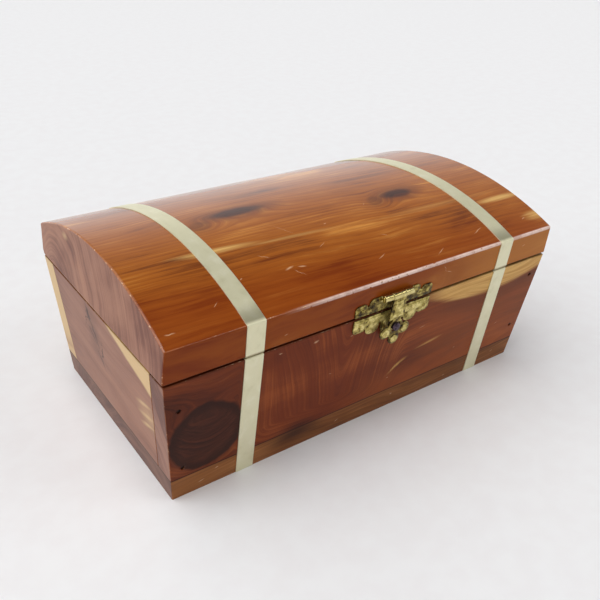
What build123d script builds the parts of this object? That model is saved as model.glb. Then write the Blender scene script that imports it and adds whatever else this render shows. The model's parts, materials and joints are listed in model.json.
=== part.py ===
"""A small cedar keepsake chest: domed lid, sloping walls, brass bands and a trunk latch.

X runs along the chest (right is +X), Y towards its back, Z up.
The origin is the middle of the face that the chest stands on.
"""
from build123d import *
import math
import os

os.makedirs("parts", exist_ok=True)

# ------------------------------------------------------------- driving dimensions, mm
RIM_LENGTH = 240.0        # outside of the body at its rim
RIM_DEPTH = 141.0
BASE_LENGTH = 230.0       # outside of the body at its foot
BASE_DEPTH = 124.4
BODY_HEIGHT = 71.0        # foot to rim
BOARD = 12.7              # every board is half an inch thick
SEAM = 1.0                # gap between rim and lid, which the folded bands need
LID_OVERHANG = 0.5        # the lid passes the body's ends by this much at the seam
LID_BAND = 16.8           # height of the upright faces under the arch
LID_SPREAD = 1.5          # how far each upright face leans out over its height
CROWN = 15.5              # rise of the arch above its springing
LID_END_LEAN = 0.075      # inward lean of the lid's ends, mm per mm of height
LID_BACK_CHAMFER = 2.0    # relief along the lid's lower back edge, for the hinge barrels
EDGE_ROUND = 0.6          # softened edges of the boards
ARRIS_ROUND = 0.9         # softened edges where the arch starts
END_ROUND = 1.0           # softened edges round the lid's ends

RECESS_LENGTH = 196.0     # shallow hollow under the lid
RECESS_DEPTH = 100.0
RECESS_HEIGHT = 12.0
RECESS_CORNER = 16.0

STRAP_WIDTH = 9.5
STRAP_THICKNESS = 0.4
STRAP_TAB = 6.0           # length folded over the rims and under the foot
TACK_INSET = 3.6          # tack from the fold, along the tab
LEFT_STRAP_X = -76.3      # the bands were fitted by eye and are not quite symmetrical
RIGHT_STRAP_X = 82.2

NAIL_HEAD = 1.2           # radius; finishing nails in the boards
NAIL_SHANK = 0.8
NAIL_LENGTH = 26.0
NAIL_HEAD_HEIGHT = 1.2
NAIL_SINK = 0.7           # depth of the open hole over a nail head
LEFT_NAIL_HEIGHTS = (19.0, 55.0)
RIGHT_NAIL_HEIGHTS = (23.5, 59.0)
BOTTOM_NAIL_SPACING = 60.0

TACK_HEAD = 1.3           # radius; flush tacks in the bands' tabs
TACK_SHANK = 0.5
TACK_LENGTH = 7.0

PIN_RADIUS = 1.0          # latch and hinge pins
PIN_ROUND = 0.4           # softened ends of the pins
BARREL_RADIUS = 1.9       # outside of every knuckle
RUNNING_FIT = 0.08        # radial clearance of a knuckle that turns on its pin
KNUCKLE_GAP = 0.15        # side clearance between knuckles

LATCH_X = 4.2             # middle of the latch
LATCH_WIDTH = 50.0
PLATE_THICKNESS = 0.7
PLATE_RELIEF = 0.45       # height of the stamped field over the plate's flat border
PLATE_BORDER = 1.2
PLATE_STEP = 0.3
PLATE_SEAM_GAP = 0.2      # each plate stops this far from its edge of the seam
BAR_CORNER = 0.8          # corners of the long bar that each plate is built on
UPPER_BAR = 4.8           # heights, widths and corners of the upper plate's tiles
UPPER_MIDDLE_WIDTH = 33.0
UPPER_MIDDLE_HEIGHT = 8.4
UPPER_MIDDLE_CORNER = 2.6
UPPER_LOBE_WIDTH = 7.4
UPPER_LOBE_HEIGHT = 6.6
UPPER_LOBE_CORNER = 2.2
LOWER_BAR = 6.4           # the same of the lower plate's
LOWER_LOBE_WIDTH = 8.4
LOWER_LOBE_HEIGHT = 8.5
LOWER_LOBE_CORNER = 2.8
INNER_LOBE_OUT = 12.4     # the lower plate's inner lobes, out from the middle
INNER_LOBE_WIDTH = 8.8
INNER_LOBE_HEIGHT = 11.3
INNER_LOBE_CORNER = 3.6
STUD_SEAT = 6.8           # radius of the lower plate's round middle, under the stud
PLATE_NAIL_REACH = 21.0   # plate pins, out from the middle
UPPER_NAIL_HEIGHT = 3.6   # plate pins, above the lid's lower edge
LOWER_NAIL_HEIGHT = -4.6  # and below the rim
LATCH_BARREL_HEIGHT = 7.6     # latch pin above the lid's lower edge
LATCH_BARREL_OUT = 2.0        # latch pin in front of the lid's face
LATCH_BARREL_LENGTH = 18.8
LATCH_PIN_OVERHANG = 0.4      # at each end of the barrel
NOTCH_CLEARANCE = 0.6         # the upper plate's notch starts this far under the barrel
NOTCH_HEIGHT = 8.0
HASP_KNUCKLE = 7.6            # width of the hasp at its pin
HASP_THICKNESS = 0.9
HASP_SLOPE = 4.0              # degrees that the hasp leans in towards the body
HASP_SHOULDER = 10.6          # width at the foot of the tongue
HASP_TONGUE = 13.4            # length of the tongue, from the pin
LOBE_RADIUS = 3.4
LOBE_SPREAD = 6.2             # side lobes, out from the middle
LOBE_DROP = 20.2              # side lobes, below the pin
LAST_LOBE_DROP = 25.0
LOBE_WEB_DROP = 0.6           # disc that joins the lobes: below their line, and over their radius
LOBE_WEB = 0.9
HOLE_COLLAR = 1.6             # metal left round the stud's hole
SPINE_TOP = 2.2               # stamped spine of the tongue: its borders, height and slope
SPINE_FOOT = 1.4
SPINE_TOP_BORDER = 1.3
SPINE_FOOT_BORDER = 1.8
SPINE_RELIEF = 0.5
SPINE_TAPER = 35.0
BOSS_BORDER = 0.7             # stamped boss on each lobe
BOSS_RELIEF = 0.6
BOSS_TAPER = 40.0
STUD_DROP = 8.7               # stud below the rim, along the front face
STUD_HEAD = 2.3               # radius
STUD_POST = 1.4
STUD_HEIGHT = 5.9             # from the front face to the top of its head
STUD_CAP = 2.4                # height of its domed head
STUD_FLANGE = 0.5             # collar that rests on the lower plate
STUD_ROOT = 4.0               # depth in the wood
STUD_HOLE = 3.0               # radius of the hole in the hasp
STUD_REACH = 4.0              # where the stud's axis passes the middle of the hasp
PLATE_NAIL_HEAD = 0.95        # radius; domed pins in plates and hinge leaves
PLATE_NAIL_HEAD_HEIGHT = 0.5
PLATE_NAIL_PROUD = 0.35       # how far a head stands over what it holds
PLATE_NAIL_DOME = 0.35
PLATE_NAIL_SHANK = 0.5
PLATE_NAIL_LENGTH = 7.0

HINGE_SPACING = 100.0     # middle to middle
HINGE_WIDTH = 22.0
HINGE_KNUCKLE = 7.4       # width of the middle knuckle, which belongs to the lid leaf
LEAF_HEIGHT = 9.5
LEAF_THICKNESS = 0.9
LEAF_RELIEF = 2.4         # leaf metal is cut back this far round a knuckle of the other leaf
LEAF_TONGUE = 0.4         # the lid leaf's middle reaches this far under the lid's lower edge
HINGE_NAIL_REACH = 7.04   # hinge pins' nails, out from the hinge's middle
HINGE_NAIL_HEIGHT = 6.2   # and from the seam's edges
HINGE_PIN_OVERHANG = 0.3
HINGE_AXIS_OUT = 2.1      # hinge pins behind the rim
LID_OPENING = 100.0       # degrees, where the stop lips meet the body leaves
LIP_LENGTH = 4.8
LIP_CLEARANCE = 0.1

# --------------------------------------------------------------------- derived sizes
WALL_LEAN = (RIM_DEPTH - BASE_DEPTH) / 2 / BODY_HEIGHT      # front and back, mm per mm
END_LEAN = (RIM_LENGTH - BASE_LENGTH) / 2 / BODY_HEIGHT     # ends, mm per mm
WALL_ANGLE = math.degrees(math.atan(WALL_LEAN))
LID_ANGLE = math.degrees(math.atan(LID_SPREAD / LID_BAND))
LID_BOTTOM = BODY_HEIGHT + SEAM
SPRING_HEIGHT = LID_BOTTOM + LID_BAND
CROWN_HEIGHT = SPRING_HEIGHT + CROWN
SPRING_HALF = RIM_DEPTH / 2 + LID_SPREAD
HINGE_AXIS_Y = RIM_DEPTH / 2 + HINGE_AXIS_OUT
HINGE_AXIS_Z = BODY_HEIGHT + SEAM / 2
WALL_ACROSS = BOARD * math.hypot(1, WALL_LEAN)              # a wall's thickness along Y
END_ACROSS = BOARD * math.hypot(1, END_LEAN)                # an end's thickness along X


def half_depth(z):
    """Half of the body's outside depth at height z."""
    return BASE_DEPTH / 2 + WALL_LEAN * z


def half_length(z):
    """Half of the body's outside length at height z."""
    return BASE_LENGTH / 2 + END_LEAN * z


def leaning_plane(x, y, z, angle):
    """A plane on an upright face that leans out: x along the chest, y up it, z outwards.

    The face looks to the front where y is negative, and to the back elsewhere.
    """
    side = math.copysign(1, y)
    lean = math.radians(angle)
    outwards = (0, side * math.cos(lean), -math.sin(lean))
    return Plane(origin=(x, y, z), x_dir=(-side, 0, 0), z_dir=outwards)


def front_face(x=0.0):
    """On the front wall, from the rim."""
    return leaning_plane(x, -RIM_DEPTH / 2, BODY_HEIGHT, WALL_ANGLE)


def back_face(x=0.0):
    """On the back wall, from the rim."""
    return leaning_plane(x, RIM_DEPTH / 2, BODY_HEIGHT, WALL_ANGLE)


def lid_front_face(x=0.0):
    """On the lid's front, from its lower edge."""
    return leaning_plane(x, -RIM_DEPTH / 2, LID_BOTTOM, LID_ANGLE)


def lid_back_face(x=0.0):
    """On the lid's back, from its lower edge."""
    return leaning_plane(x, RIM_DEPTH / 2, LID_BOTTOM, LID_ANGLE)


def end_plane(side, z, half, lean):
    """The plane of a sloping end face, seen from outside."""
    return Plane(origin=(side * half, 0, z), x_dir=(0, 1, 0), z_dir=(side, 0, -lean))


# ------------------------------------------------------------------ sections and tools
def body_outline(bottom=0.0):
    """Section across the body, Y across and Z up, from height bottom to the rim."""
    with BuildSketch() as outline:
        with BuildLine():
            Polyline(
                (-half_depth(bottom), bottom),
                (-RIM_DEPTH / 2, BODY_HEIGHT),
                (RIM_DEPTH / 2, BODY_HEIGHT),
                (half_depth(bottom), bottom),
                close=True,
            )
        make_face()
        fillet(outline.vertices().group_by(Axis.Y)[-1], EDGE_ROUND)
    return outline.sketch


def lid_outline():
    """Section across the lid: two upright faces under an arch."""
    back_edge = RIM_DEPTH / 2 + LID_SPREAD * LID_BACK_CHAMFER / LID_BAND
    with BuildSketch() as outline:
        with BuildLine():
            Polyline(
                (-SPRING_HALF, SPRING_HEIGHT),
                (-RIM_DEPTH / 2, LID_BOTTOM),
                (RIM_DEPTH / 2 - LID_BACK_CHAMFER, LID_BOTTOM),
                (back_edge, LID_BOTTOM + LID_BACK_CHAMFER),
                (SPRING_HALF, SPRING_HEIGHT),
            )
            ThreePointArc(
                (SPRING_HALF, SPRING_HEIGHT), (0, CROWN_HEIGHT), (-SPRING_HALF, SPRING_HEIGHT)
            )
        make_face()
        fillet(outline.vertices().group_by(Axis.Y)[-1], ARRIS_ROUND)
        fillet(outline.vertices().group_by(Axis.Y)[0].sort_by(Axis.X)[0], EDGE_ROUND)
    return outline.sketch


body_section = body_outline()
raised_body_section = body_outline(bottom=STRAP_THICKNESS)
lid_section = lid_outline()


def front_wall_band(outside, inside, bottom, top):
    """Corners of a band that leans with the front wall, in Y and Z.

    outside and inside are how far it reaches out of and into the wall's outer face.
    """
    return [
        (-half_depth(bottom) - outside, bottom),
        (-half_depth(top) - outside, top),
        (-half_depth(top) + inside, top),
        (-half_depth(bottom) + inside, bottom),
    ]


def nail_group(places, head, head_height, shank, length, dome=0.0):
    """Nails driven at right angles into planes: each plane's origin is a head's outer face."""
    with BuildPart() as nails:
        for place in places:
            with BuildSketch(place):
                Circle(head)
            extrude(amount=-head_height)
            if dome:
                rims = nails.edges().filter_by(GeomType.CIRCLE)
                rim = rims.sort_by_distance(place.origin + place.z_dir * head)[0]
                fillet(rim, dome)
            with BuildSketch(place):
                Circle(shank)
            extrude(amount=-length)
    return nails.part


def knuckle(x_from, x_to, y, z, bore):
    """A knuckle's tube round an axis along X."""
    with BuildPart() as tube:
        with BuildSketch(Plane.YZ.offset(x_from)):
            with Locations((y, z)):
                Circle(BARREL_RADIUS)
                Circle(bore, mode=Mode.SUBTRACT)
        extrude(amount=x_to - x_from)
    return tube.part


def pin(x_from, x_to, y, z):
    """A hinge pin along X with softened ends."""
    with BuildPart() as rod:
        with BuildSketch(Plane.YZ.offset(x_from)):
            with Locations((y, z)):
                Circle(PIN_RADIUS)
        extrude(amount=x_to - x_from)
        fillet(rod.edges().filter_by(GeomType.CIRCLE), PIN_ROUND)
    return rod.part


def keep(part, name):
    """Name a finished piece and write it."""
    part.label = name
    export_step(part, f"parts/{name}.step")


# ------------------------------------------------------------------- nails in the boards
def wall_nail_places(face):
    """Where the nails enter a long wall: into the middle of each end panel's edge."""
    places = []
    for side, heights in ((-1, LEFT_NAIL_HEIGHTS), (1, RIGHT_NAIL_HEIGHTS)):
        for z in heights:
            x = side * (half_length(z) - BOARD / 2)
            along = (z - BODY_HEIGHT) * math.hypot(1, WALL_LEAN)
            plane = face(x)
            places.append(Plane(plane.origin + plane.y_dir * along, plane.x_dir, plane.z_dir))
    return places


def foot_nail_places():
    """Where the nails enter the bottom board, up into the middle of each wall."""
    under_wall = half_depth(BOARD) - BOARD / 2
    under_end = half_length(BOARD) - BOARD / 2
    spots = [(x, side * under_wall) for side in (-1, 1)
             for x in (-BOTTOM_NAIL_SPACING, 0, BOTTOM_NAIL_SPACING)]
    spots += [(side * under_end, y) for side in (-1, 1)
              for y in (-BOTTOM_NAIL_SPACING / 3, BOTTOM_NAIL_SPACING / 3)]
    return [Plane(origin=(x, y, 0), x_dir=(1, 0, 0), z_dir=(0, 0, -1)) for x, y in spots]


front_nail_places = wall_nail_places(front_face)
back_nail_places = wall_nail_places(back_face)
bottom_nail_places = foot_nail_places()
board_nail = (NAIL_HEAD, NAIL_HEAD_HEIGHT, NAIL_SHANK, NAIL_LENGTH)

front_panel_nails = nail_group([place.offset(-NAIL_SINK) for place in front_nail_places], *board_nail)
back_panel_nails = nail_group([place.offset(-NAIL_SINK) for place in back_nail_places], *board_nail)
bottom_nails = nail_group([place.offset(-NAIL_SINK) for place in bottom_nail_places], *board_nail)

keep(front_panel_nails, "front_panel_nails")
keep(back_panel_nails, "back_panel_nails")
keep(bottom_nails, "bottom_nails")


# ----------------------------------------------------------------------- brass bands
def lid_strap(x):
    """A band over the lid, with a tab folded under its front and back edges."""
    with BuildPart() as strap:
        with BuildSketch(Plane.YZ.offset(x - STRAP_WIDTH / 2)):
            add(lid_section)
            offset(amount=STRAP_THICKNESS)
            add(lid_section, mode=Mode.SUBTRACT)
            with Locations((0, LID_BOTTOM)):
                Rectangle(RIM_DEPTH - 2 * STRAP_TAB, 4 * STRAP_THICKNESS, mode=Mode.SUBTRACT)
        extrude(amount=STRAP_WIDTH)
        add(lid_strap_tacks, mode=Mode.SUBTRACT)
    return strap.part


def front_strap(x):
    """A band down the front wall, folded over the rim and let into the foot."""
    with BuildPart() as strap:
        with BuildSketch(Plane.YZ.offset(x - STRAP_WIDTH / 2)):
            add(raised_body_section)
            offset(amount=STRAP_THICKNESS)
            add(raised_body_section, mode=Mode.SUBTRACT)
            with BuildLine():
                corners = front_wall_band(2 * STRAP_THICKNESS, STRAP_TAB, -SEAM, LID_BOTTOM)
                Polyline(*corners, close=True)
            make_face(mode=Mode.INTERSECT)
        extrude(amount=STRAP_WIDTH)
        add(body_strap_tacks, mode=Mode.SUBTRACT)
    return strap.part


def lid_tack_places():
    """On the lid straps' tabs, looking down."""
    spots = [(x, side * (RIM_DEPTH / 2 - TACK_INSET))
             for x in (LEFT_STRAP_X, RIGHT_STRAP_X) for side in (-1, 1)]
    height = LID_BOTTOM - STRAP_THICKNESS
    return [Plane(origin=(x, y, height), x_dir=(1, 0, 0), z_dir=(0, 0, -1)) for x, y in spots]


def body_tack_places():
    """On the body straps' tabs: over the rim, looking up, and under the foot, looking down."""
    places = []
    for x in (LEFT_STRAP_X, RIGHT_STRAP_X):
        for side in (-1, 1):
            rim_y = side * (RIM_DEPTH / 2 - TACK_INSET)
            foot_y = side * (BASE_DEPTH / 2 - TACK_INSET)
            places.append(Plane(origin=(x, rim_y, BODY_HEIGHT + STRAP_THICKNESS)))
            places.append(Plane(origin=(x, foot_y, 0), x_dir=(1, 0, 0), z_dir=(0, 0, -1)))
    return places


tack = (TACK_HEAD, STRAP_THICKNESS, TACK_SHANK, TACK_LENGTH)
lid_strap_tacks = nail_group(lid_tack_places(), *tack)
body_strap_tacks = nail_group(body_tack_places(), *tack)
left_lid_strap = lid_strap(LEFT_STRAP_X)
right_lid_strap = lid_strap(RIGHT_STRAP_X)
left_front_strap = front_strap(LEFT_STRAP_X)
right_front_strap = front_strap(RIGHT_STRAP_X)
left_back_strap = mirror(left_front_strap, about=Plane.XZ)
right_back_strap = mirror(right_front_strap, about=Plane.XZ)
body_straps = [left_front_strap, right_front_strap, left_back_strap, right_back_strap]

keep(lid_strap_tacks, "lid_strap_tacks")
keep(body_strap_tacks, "body_strap_tacks")
keep(left_lid_strap, "left_lid_strap")
keep(right_lid_strap, "right_lid_strap")
keep(left_front_strap, "left_front_strap")
keep(right_front_strap, "right_front_strap")
keep(left_back_strap, "left_back_strap")
keep(right_back_strap, "right_back_strap")


# ------------------------------------------------------------------------ latch fittings
def plate_nail_places(face, x_middle, reach, height, lift):
    """Two pins, left and right of a plate's middle, on the plate's outer surface."""
    plane = face(x_middle)
    return [Plane(plane.origin + plane.x_dir * side * reach + plane.y_dir * height
                  + plane.z_dir * lift, plane.x_dir, plane.z_dir)
            for side in (-1, 1)]


plate_top = PLATE_THICKNESS + PLATE_RELIEF
plate_nail = (PLATE_NAIL_HEAD, PLATE_NAIL_HEAD_HEIGHT, PLATE_NAIL_SHANK, PLATE_NAIL_LENGTH,
              PLATE_NAIL_DOME)
plate_nail_lift = plate_top + PLATE_NAIL_PROUD
latch_upper_nails = nail_group(
    plate_nail_places(lid_front_face, LATCH_X, PLATE_NAIL_REACH, UPPER_NAIL_HEIGHT, plate_nail_lift),
    *plate_nail)
latch_lower_nails = nail_group(
    plate_nail_places(front_face, LATCH_X, PLATE_NAIL_REACH, LOWER_NAIL_HEIGHT, plate_nail_lift),
    *plate_nail)
keep(latch_upper_nails, "latch_upper_nails")
keep(latch_lower_nails, "latch_lower_nails")

latch_lid_plane = lid_front_face(LATCH_X)
latch_body_plane = front_face(LATCH_X)
latch_axis = (latch_lid_plane.origin + latch_lid_plane.y_dir * LATCH_BARREL_HEIGHT
              + latch_lid_plane.z_dir * LATCH_BARREL_OUT)


def plate_tiles(tiles, inset):
    """Rounded tiles, each (middle, lower edge, width, height, corner), all drawn in by inset."""
    for middle, low, width, height, corner in tiles:
        with Locations((middle, low + height / 2)):
            RectangleRounded(width - 2 * inset, height - 2 * inset, corner - inset / 2)


def upper_plate_outline(inset=0.0):
    """Two low end lobes and a taller middle, from the lid's lower edge upwards."""
    low = PLATE_SEAM_GAP
    end_middle = (LATCH_WIDTH - UPPER_LOBE_WIDTH) / 2
    tiles = [
        (0, low, LATCH_WIDTH, UPPER_BAR, BAR_CORNER),
        (0, low, UPPER_MIDDLE_WIDTH, UPPER_MIDDLE_HEIGHT, UPPER_MIDDLE_CORNER),
    ]
    for side in (-1, 1):
        tiles.append((side * end_middle, low, UPPER_LOBE_WIDTH, UPPER_LOBE_HEIGHT, UPPER_LOBE_CORNER))
    with BuildSketch() as outline:
        plate_tiles(tiles, inset)
    return outline.sketch


def lower_plate_outline(inset=0.0):
    """Four small lobes and a round middle under the stud, from the rim downwards."""
    high = -PLATE_SEAM_GAP
    end_middle = (LATCH_WIDTH - LOWER_LOBE_WIDTH) / 2
    lobe = (LOWER_LOBE_WIDTH, LOWER_LOBE_HEIGHT, LOWER_LOBE_CORNER)
    inner_lobe = (INNER_LOBE_WIDTH, INNER_LOBE_HEIGHT, INNER_LOBE_CORNER)
    tiles = [(0, high - LOWER_BAR, LATCH_WIDTH, LOWER_BAR, BAR_CORNER)]
    for side in (-1, 1):
        tiles.append((side * end_middle, high - LOWER_LOBE_HEIGHT, *lobe))
        tiles.append((side * INNER_LOBE_OUT, high - INNER_LOBE_HEIGHT, *inner_lobe))
    with BuildSketch() as outline:
        plate_tiles(tiles, inset)
        with Locations((0, -STUD_DROP)):
            Circle(STUD_SEAT - inset)
    return outline.sketch


def stamped_plate(plane, outline):
    """A flat plate with a field raised in two low steps."""
    layers = [(outline(), PLATE_THICKNESS)]
    for step in (0, 1):
        inset = PLATE_BORDER + step * PLATE_STEP
        layers.append((outline(inset), PLATE_THICKNESS + (step + 1) * PLATE_RELIEF / 2))
    with BuildPart() as plate:
        for shape, height in layers:
            with BuildSketch(plane):
                add(shape)
            extrude(amount=height)
    return plate.part


def latch_knuckles():
    """The two knuckles that stand on the upper plate, either side of the hasp's."""
    inner = HASP_KNUCKLE / 2 + KNUCKLE_GAP
    outer = LATCH_BARREL_LENGTH / 2
    return [
        knuckle(LATCH_X - outer, LATCH_X - inner, latch_axis.Y, latch_axis.Z, PIN_RADIUS),
        knuckle(LATCH_X + inner, LATCH_X + outer, latch_axis.Y, latch_axis.Z, PIN_RADIUS),
    ]


upper_plate_blank = stamped_plate(latch_lid_plane, upper_plate_outline)
lower_plate_blank = stamped_plate(latch_body_plane, lower_plate_outline)
upper_plate_knuckles = latch_knuckles()


with BuildPart() as latch_upper_plate:
    add(upper_plate_blank)
    # the hasp's knuckle turns in this notch
    with BuildSketch(latch_lid_plane):
        with Locations((0, LATCH_BARREL_HEIGHT - BARREL_RADIUS - NOTCH_CLEARANCE)):
            Rectangle(HASP_KNUCKLE + 2 * KNUCKLE_GAP, NOTCH_HEIGHT, align=(Align.CENTER, Align.MIN))
    extrude(amount=2 * BARREL_RADIUS, mode=Mode.SUBTRACT)
    add(upper_plate_knuckles)
    add(latch_upper_nails, mode=Mode.SUBTRACT)
keep(latch_upper_plate.part, "latch_upper_plate")

latch_pin_half = LATCH_BARREL_LENGTH / 2 + LATCH_PIN_OVERHANG
latch_pin = pin(LATCH_X - latch_pin_half, LATCH_X + latch_pin_half, latch_axis.Y, latch_axis.Z)
keep(latch_pin, "latch_pin")

# the stud is driven square into the front face
stud_foot = latch_body_plane.origin - latch_body_plane.y_dir * STUD_DROP
stud_plane = Plane(stud_foot, latch_body_plane.x_dir, latch_body_plane.z_dir)
with BuildPart() as latch_stud:
    with BuildSketch(stud_plane.offset(-STUD_ROOT)):
        Circle(STUD_POST)
    extrude(amount=STUD_ROOT + STUD_HEIGHT - STUD_CAP)
    with BuildSketch(stud_plane.offset(STUD_HEIGHT - STUD_CAP)):
        Circle(STUD_HEAD)
    extrude(amount=STUD_CAP)
    fillet(latch_stud.faces().sort_by(Axis.Y)[0].edges(), STUD_CAP / 2)
    with BuildSketch(stud_plane.offset(plate_top)):
        Circle(STUD_HEAD)
    extrude(amount=STUD_FLANGE)
keep(latch_stud.part, "latch_stud")

with BuildPart() as latch_lower_plate:
    add(lower_plate_blank)
    add(latch_stud.part, mode=Mode.SUBTRACT)
    add(latch_lower_nails, mode=Mode.SUBTRACT)
keep(latch_lower_plate.part, "latch_lower_plate")

# the hasp's own plane: its outer face, from the pin's height downwards
hasp_lean = math.radians(HASP_SLOPE)
hasp_plane = Plane(
    origin=(LATCH_X, latch_axis.Y - BARREL_RADIUS, latch_axis.Z),
    x_dir=(1, 0, 0),
    z_dir=(0, -math.cos(hasp_lean), -math.sin(hasp_lean)),
)
# the height at which the stud's axis meets the hasp, measured along the hasp
stud_point = stud_foot + stud_plane.z_dir * STUD_REACH
hole_height = hasp_plane.to_local_coords(stud_point).Y
LOBES = ((-LOBE_SPREAD, -LOBE_DROP), (LOBE_SPREAD, -LOBE_DROP), (0, -LAST_LOBE_DROP))
spine_top_half = HASP_KNUCKLE / 2 - SPINE_TOP_BORDER
spine_foot_half = HASP_SHOULDER / 2 - SPINE_FOOT_BORDER

hasp_knuckle = knuckle(LATCH_X - HASP_KNUCKLE / 2, LATCH_X + HASP_KNUCKLE / 2,
                       latch_axis.Y, latch_axis.Z, PIN_RADIUS + RUNNING_FIT)

with BuildPart() as latch_hasp:
    with BuildSketch(hasp_plane):
        with BuildLine():
            Polyline(
                (-HASP_KNUCKLE / 2, 0),
                (-HASP_SHOULDER / 2, -HASP_TONGUE),
                (HASP_SHOULDER / 2, -HASP_TONGUE),
                (HASP_KNUCKLE / 2, 0),
                close=True,
            )
        make_face()
        with Locations((0, hole_height)):
            Circle(STUD_HOLE + HOLE_COLLAR)
        with Locations((0, -LOBE_DROP - LOBE_WEB_DROP)):
            Circle(LOBE_RADIUS + LOBE_WEB)
        with Locations(*LOBES):
            Circle(LOBE_RADIUS)
    extrude(amount=-HASP_THICKNESS)
    # stamped relief: a raised spine and a boss on every lobe
    with BuildSketch(hasp_plane):
        with BuildLine():
            Polyline(
                (-spine_top_half, -SPINE_TOP),
                (-spine_foot_half, -HASP_TONGUE + SPINE_FOOT),
                (spine_foot_half, -HASP_TONGUE + SPINE_FOOT),
                (spine_top_half, -SPINE_TOP),
                close=True,
            )
        make_face()
    extrude(amount=SPINE_RELIEF, taper=SPINE_TAPER)
    with BuildSketch(hasp_plane):
        with Locations(*LOBES):
            Circle(LOBE_RADIUS - BOSS_BORDER)
    extrude(amount=BOSS_RELIEF, taper=BOSS_TAPER)
    with BuildSketch(hasp_plane.offset(BOSS_RELIEF)):
        with Locations((0, hole_height)):
            Circle(STUD_HOLE)
    extrude(amount=-BOSS_RELIEF - 2 * HASP_THICKNESS, mode=Mode.SUBTRACT)
    add(hasp_knuckle)
    with BuildSketch(Plane.YZ.offset(LATCH_X - HASP_KNUCKLE)):
        with Locations((latch_axis.Y, latch_axis.Z)):
            Circle(PIN_RADIUS + RUNNING_FIT)
    extrude(amount=2 * HASP_KNUCKLE, mode=Mode.SUBTRACT)
keep(latch_hasp.part, "latch_hasp")


# ------------------------------------------------------------------------------- hinges
def hinge_nail_places(x, face, height):
    """Two pins in one leaf."""
    return plate_nail_places(face, x, HINGE_NAIL_REACH, height, LEAF_THICKNESS + PLATE_NAIL_PROUD)


def hinge_lid_leaf(x):
    """The leaf on the lid: one middle knuckle with a lip that stops the lid when open."""
    plane = lid_back_face(x)
    half = HINGE_KNUCKLE / 2
    # the lip lies flat against the body leaf once the lid has turned to LID_OPENING
    lip_angle = math.radians(LID_OPENING - 90 - WALL_ANGLE)
    lip_plane = Plane(
        origin=(x - half, HINGE_AXIS_Y, HINGE_AXIS_Z),
        x_dir=(0, math.cos(lip_angle), math.sin(lip_angle)),
        z_dir=(1, 0, 0),
    )
    leaf_distance = abs(back_face(x).to_local_coords(Vector(x, HINGE_AXIS_Y, HINGE_AXIS_Z)).Z)
    lip_face = leaf_distance - LEAF_THICKNESS - LIP_CLEARANCE
    middle_knuckle = knuckle(x - half, x + half, HINGE_AXIS_Y, HINGE_AXIS_Z, PIN_RADIUS + RUNNING_FIT)
    with BuildPart() as leaf:
        with BuildSketch(plane):
            with Locations((0, LEAF_HEIGHT)):
                Rectangle(HINGE_WIDTH, LEAF_HEIGHT - LEAF_RELIEF, align=(Align.CENTER, Align.MAX))
            with Locations((0, LEAF_HEIGHT)):
                Rectangle(HINGE_KNUCKLE, LEAF_HEIGHT + LEAF_TONGUE, align=(Align.CENTER, Align.MAX))
        extrude(amount=LEAF_THICKNESS)
        add(middle_knuckle)
        with BuildSketch(lip_plane):
            with Locations((0, -lip_face)):
                Rectangle(LIP_LENGTH, LEAF_THICKNESS, align=(Align.MIN, Align.MIN))
        extrude(amount=HINGE_KNUCKLE)
        with BuildSketch(Plane.YZ.offset(x - HINGE_WIDTH)):
            with Locations((HINGE_AXIS_Y, HINGE_AXIS_Z)):
                Circle(PIN_RADIUS + RUNNING_FIT)
        extrude(amount=2 * HINGE_WIDTH, mode=Mode.SUBTRACT)
        add(hinge_lid_nails, mode=Mode.SUBTRACT)
    return leaf.part


def hinge_body_leaf(x):
    """The leaf on the back wall: two outer knuckles that hold the pin."""
    plane = back_face(x)
    half = HINGE_WIDTH / 2
    gap = HINGE_KNUCKLE / 2 + KNUCKLE_GAP
    outer_knuckles = [
        knuckle(x - half, x - gap, HINGE_AXIS_Y, HINGE_AXIS_Z, PIN_RADIUS),
        knuckle(x + gap, x + half, HINGE_AXIS_Y, HINGE_AXIS_Z, PIN_RADIUS),
    ]
    with BuildPart() as leaf:
        with BuildSketch(plane):
            Rectangle(HINGE_WIDTH, LEAF_HEIGHT, align=(Align.CENTER, Align.MAX))
            Rectangle(2 * gap, 2 * LEAF_RELIEF, mode=Mode.SUBTRACT)
        extrude(amount=LEAF_THICKNESS)
        add(outer_knuckles)
        with BuildSketch(Plane.YZ.offset(x - HINGE_WIDTH)):
            with Locations((HINGE_AXIS_Y, HINGE_AXIS_Z)):
                Circle(PIN_RADIUS)
        extrude(amount=2 * HINGE_WIDTH, mode=Mode.SUBTRACT)
        add(hinge_body_nails, mode=Mode.SUBTRACT)
    return leaf.part


hinge_places = {"left": -HINGE_SPACING / 2, "right": HINGE_SPACING / 2}
lid_nail_places = []
body_nail_places = []
for hinge_x in hinge_places.values():
    lid_nail_places += hinge_nail_places(hinge_x, lid_back_face, HINGE_NAIL_HEIGHT)
    body_nail_places += hinge_nail_places(hinge_x, back_face, -HINGE_NAIL_HEIGHT)
hinge_lid_nails = nail_group(lid_nail_places, *plate_nail)
hinge_body_nails = nail_group(body_nail_places, *plate_nail)
keep(hinge_lid_nails, "hinge_lid_nails")
keep(hinge_body_nails, "hinge_body_nails")

for side_name, hinge_x in hinge_places.items():
    keep(hinge_lid_leaf(hinge_x), f"{side_name}_hinge_lid_leaf")
    keep(hinge_body_leaf(hinge_x), f"{side_name}_hinge_body_leaf")
    hinge_pin_half = HINGE_WIDTH / 2 + HINGE_PIN_OVERHANG
    hinge_pin = pin(hinge_x - hinge_pin_half, hinge_x + hinge_pin_half, HINGE_AXIS_Y, HINGE_AXIS_Z)
    keep(hinge_pin, f"{side_name}_hinge_pin")


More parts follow.
